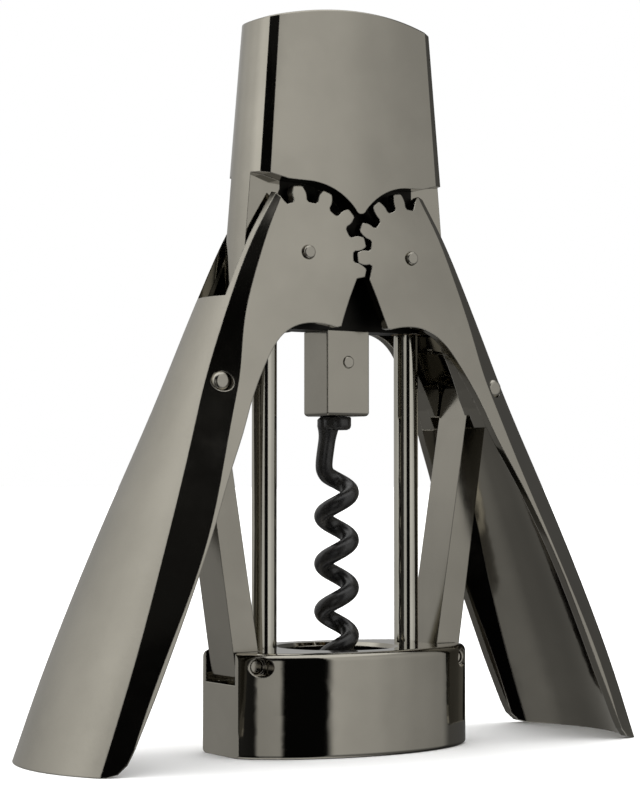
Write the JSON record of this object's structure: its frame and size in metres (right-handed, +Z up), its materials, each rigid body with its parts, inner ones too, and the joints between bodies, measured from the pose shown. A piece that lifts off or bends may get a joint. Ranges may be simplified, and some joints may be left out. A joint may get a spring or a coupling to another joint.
{
  "type": "lever corkscrew",
  "caption": "Corkscrew with geared channel levers hung on a tall head that slides on guide rods over an oval bottle base and drives a black wire worm.",
  "frame": {"origin": "on the table, at the middle of the underside of the oval base, below the worm", "axes": "+Z up along the worm and the guide rods, +X towards the right-hand lever, -Y towards the viewer's front"},
  "size_m": [0.1444, 0.0428, 0.1571],
  "materials": {
    "satin_nickel": "satin grey nickel on castings",
    "polished_nickel": "polished grey nickel",
    "pin_steel": "bright drawn steel",
    "black_coating": "gloss black low-friction coating",
    "bronze": "plain sintered bronze",
    "washer_polymer": "matt black"
  },
  "bodies": {
    "base": {"base_body": "polished_nickel", "guide_rod_left": "polished_nickel", "guide_rod_right": "polished_nickel", "rod_screws": "pin_steel", "link_pin_left": "pin_steel", "link_pin_right": "pin_steel"},
    "head": {"head_body": "satin_nickel", "guide_bush_left": "bronze", "guide_bush_right": "bronze", "gear_pin_left": "pin_steel", "gear_pin_right": "pin_steel", "pivot_washers_left": "washer_polymer", "pivot_washers_right": "washer_polymer", "worm_holder": "polished_nickel", "worm": "black_coating", "worm_pin": "pin_steel"},
    "lever_right": {"lever_right": "satin_nickel", "lever_rivets_right": "pin_steel"},
    "lever_left": {"lever_left": "satin_nickel", "lever_rivets_left": "pin_steel"},
    "link_right": {"link_right": "satin_nickel"},
    "link_left": {"link_left": "satin_nickel"}
  },
  "joints": [
    {"name": "head_slide", "type": "slide", "parent": "base", "child": "head", "axis": [0, 0, -1], "range_m": [0, 0.0455]},
    {"name": "lever_right_pivot", "type": "hinge", "parent": "head", "child": "lever_right", "pos_m": [0.013, 0, 0.1048], "axis": [0, -1, 0], "range_deg": [0, 78]},
    {"name": "lever_left_pivot", "type": "hinge", "parent": "head", "child": "lever_left", "pos_m": [-0.013, 0, 0.1048], "axis": [0, 1, 0], "range_deg": [0, 78.3]},
    {"name": "link_right_pivot", "type": "hinge", "parent": "base", "child": "link_right", "pos_m": [0.0251, 0, 0.0188], "axis": [0, 1, 0], "range_deg": [0, 10.35]},
    {"name": "link_left_pivot", "type": "hinge", "parent": "base", "child": "link_left", "pos_m": [-0.0251, 0, 0.0188], "axis": [0, -1, 0], "range_deg": [0, 10.35]}
  ],
  "couplings": [
    {"joint": "lever_left_pivot", "follows": "lever_right_pivot", "ratio": 1},
    {"joint": "head_slide", "follows": "lever_right_pivot", "m_per_rad": 0.033217},
    {"joint": "link_right_pivot", "follows": "lever_right_pivot", "ratio": 0.12987},
    {"joint": "link_left_pivot", "follows": "lever_right_pivot", "ratio": 0.12987}
  ]
}
